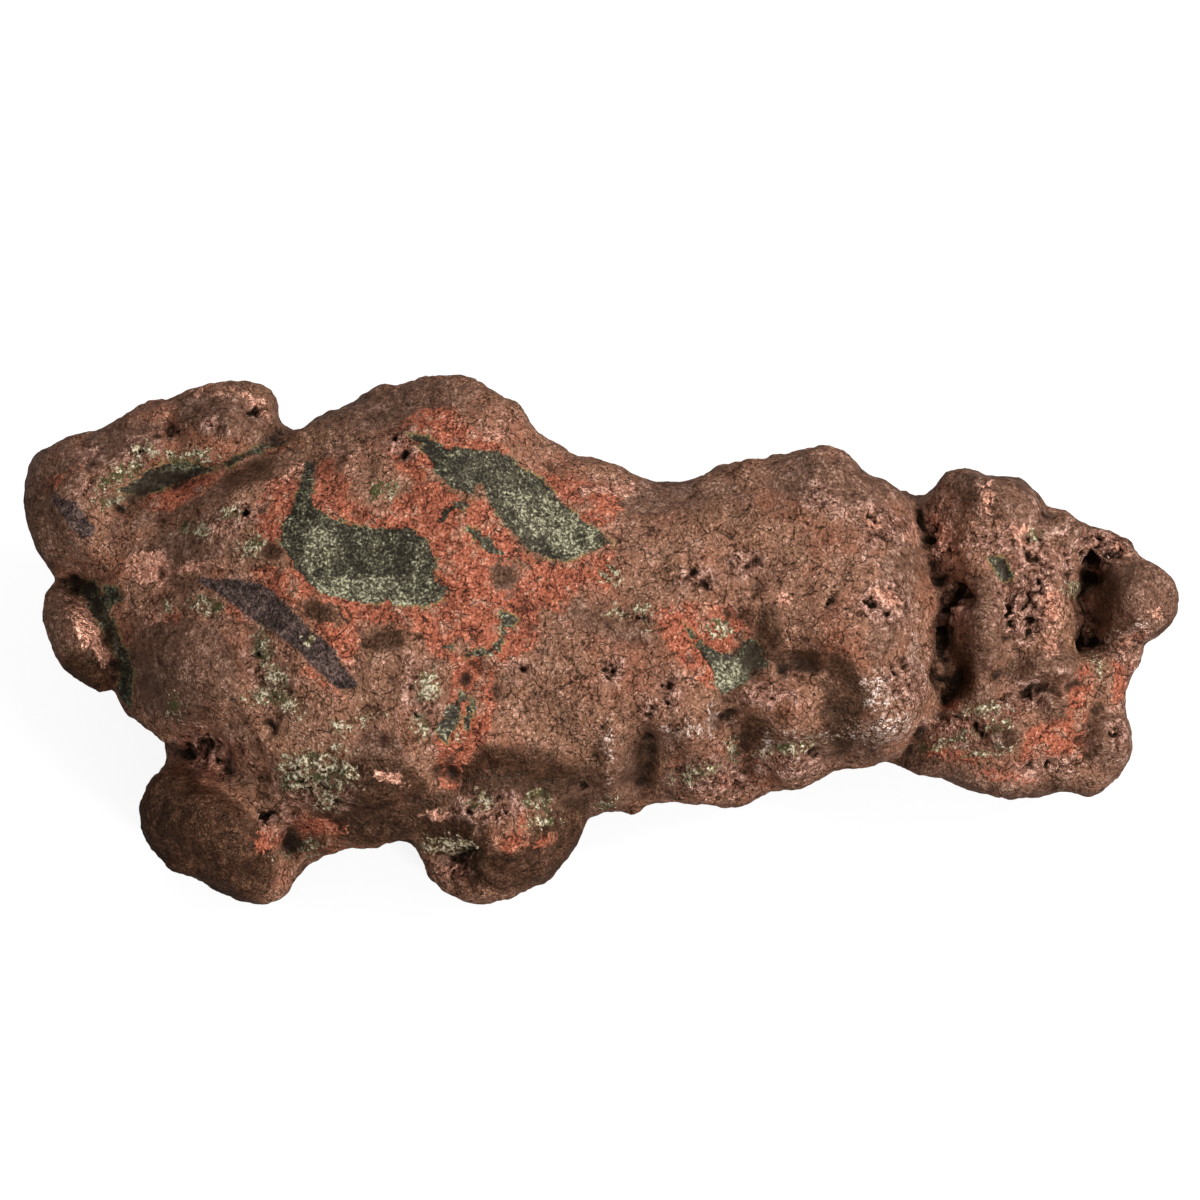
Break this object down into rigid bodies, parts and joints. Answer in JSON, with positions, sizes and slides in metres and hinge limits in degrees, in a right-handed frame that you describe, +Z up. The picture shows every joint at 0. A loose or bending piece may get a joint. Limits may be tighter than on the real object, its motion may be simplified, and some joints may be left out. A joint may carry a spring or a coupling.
{
  "type": "native copper nugget",
  "caption": "Long, lumpy, water-worn native copper nugget with dark rock inlaid in its broad face, lying on a flat worn foot.",
  "frame": {"origin": "the middle of the nugget's footprint box, on the surface that it lies on", "axes": "+X along the nugget towards its cleft end, +Y to its back, away from the side that the inlaid face leans down to, +Z up"},
  "size_m": [0.0997, 0.0435, 0.0327],
  "materials": {
    "copper": "semi-gloss brown patina on native copper, with brick-red cuprite, dark green speckled rock inlays, pale green crust and bright worn spots"
  },
  "bodies": {
    "root": {"nugget": "copper"}
  },
  "joints": []
}
